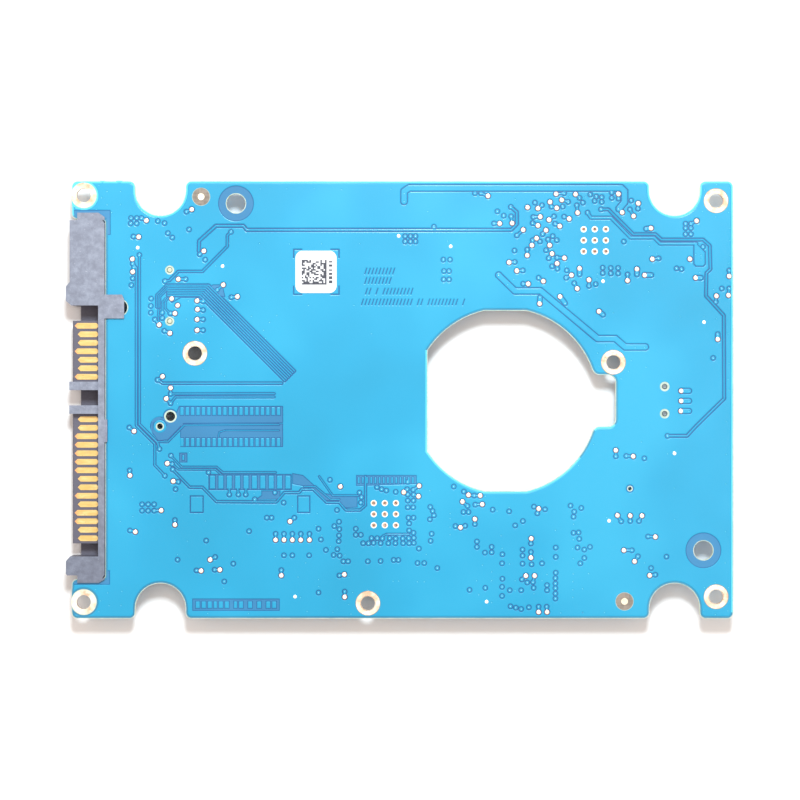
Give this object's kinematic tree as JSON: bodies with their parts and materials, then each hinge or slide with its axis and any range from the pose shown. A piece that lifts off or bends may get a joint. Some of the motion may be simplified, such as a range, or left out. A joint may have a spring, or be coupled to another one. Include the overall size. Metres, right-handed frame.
{
  "type": "disk drive controller board",
  "caption": "Controller circuit board of a 2.5-inch disk drive: blue board with edge notches, a round motor opening, screw holes, a SATA plug and sprung contact blocks.",
  "frame": {"origin": "middle of the overall box in plan, at the lowest face of the SATA plug", "axes": "+X from the SATA plug towards the far end, +Y across the board, +Z out of the smooth outer face"},
  "size_m": [0.0994, 0.0654, 0.0048],
  "materials": {
    "laminate": "matte",
    "solder_mask": "satin",
    "plated_copper": "satin",
    "label": "matte",
    "connector_plastic": "matte",
    "gold_contact": "satin",
    "tinned_metal": "satin",
    "natural_plastic": "matte",
    "chip_package": "matte",
    "chip_ceramic": "matte",
    "ferrite": "matte",
    "tantalum_case": "matte",
    "capacitor_ceramic": "matte",
    "resistor_body": "matte"
  },
  "bodies": {
    "board": {"circuit_board": "laminate", "outer_solder_mask": "solder_mask", "inner_solder_mask": "solder_mask", "screw_hole_lands": "plated_copper", "thermal_vias": "plated_copper", "fiducial_marks": "plated_copper", "identification_label": "label", "sata_housing": "connector_plastic", "sata_signal_contacts": "gold_contact", "sata_power_contacts": "gold_contact", "sata_solder_tabs": "tinned_metal", "head_connector_housing": "natural_plastic", "head_contact_tails": "gold_contact", "motor_connector_housing": "connector_plastic", "motor_contact_tails": "gold_contact", "controller_chip": "chip_package", "controller_leads": "tinned_metal", "controller_heat_pad": "tinned_metal", "memory_chip": "chip_package", "memory_solder_balls": "tinned_metal", "motor_driver_chip": "chip_package", "motor_driver_pads": "tinned_metal", "regulator_chip": "chip_package", "regulator_pads": "tinned_metal", "flash_chip": "chip_package", "flash_leads": "tinned_metal", "crystal_base": "chip_ceramic", "crystal_lid": "tinned_metal", "transistors": "chip_package", "transistor_leads": "tinned_metal", "power_inductors": "ferrite", "inductor_terminals": "tinned_metal", "tantalum_capacitors": "tantalum_case", "tantalum_terminals": "tinned_metal", "surge_diodes": "chip_package", "surge_diode_leads": "tinned_metal", "shock_sensors": "chip_ceramic", "shock_sensor_ends": "tinned_metal", "bulk_capacitors": "capacitor_ceramic", "bulk_capacitor_ends": "tinned_metal", "ceramic_capacitors": "capacitor_ceramic", "ceramic_capacitor_ends": "tinned_metal", "resistors": "resistor_body", "resistor_ends": "tinned_metal"},
    "head_row_near": {"head_spring_row_near": "gold_contact"},
    "head_row_far": {"head_spring_row_far": "gold_contact"},
    "motor_finger_1": {"motor_spring_1": "gold_contact"},
    "motor_finger_2": {"motor_spring_2": "gold_contact"},
    "motor_finger_3": {"motor_spring_3": "gold_contact"}
  },
  "joints": [
    {"name": "head_row_near_flex", "type": "hinge", "parent": "board", "child": "head_row_near", "pos_m": [-0.0345, 0.01547, 0.0029], "axis": [0, -1, 0], "range_deg": [0, 12], "stiffness_Nm_per_rad": 0.024},
    {"name": "head_row_far_flex", "type": "hinge", "parent": "board", "child": "head_row_far", "pos_m": [-0.0311, 0.01547, 0.0029], "axis": [0, 1, 0], "range_deg": [0, 12], "stiffness_Nm_per_rad": 0.024},
    {"name": "motor_finger_1_flex", "type": "hinge", "parent": "board", "child": "motor_finger_1", "pos_m": [0.0402, -0.00172, 0.00275], "axis": [0, 1, 0], "range_deg": [0, 7], "stiffness_Nm_per_rad": 0.022},
    {"name": "motor_finger_2_flex", "type": "hinge", "parent": "board", "child": "motor_finger_2", "pos_m": [0.0402, -0.00022, 0.00275], "axis": [0, 1, 0], "range_deg": [0, 7], "stiffness_Nm_per_rad": 0.022},
    {"name": "motor_finger_3_flex", "type": "hinge", "parent": "board", "child": "motor_finger_3", "pos_m": [0.0402, 0.00128, 0.00275], "axis": [0, 1, 0], "range_deg": [0, 7], "stiffness_Nm_per_rad": 0.022}
  ]
}
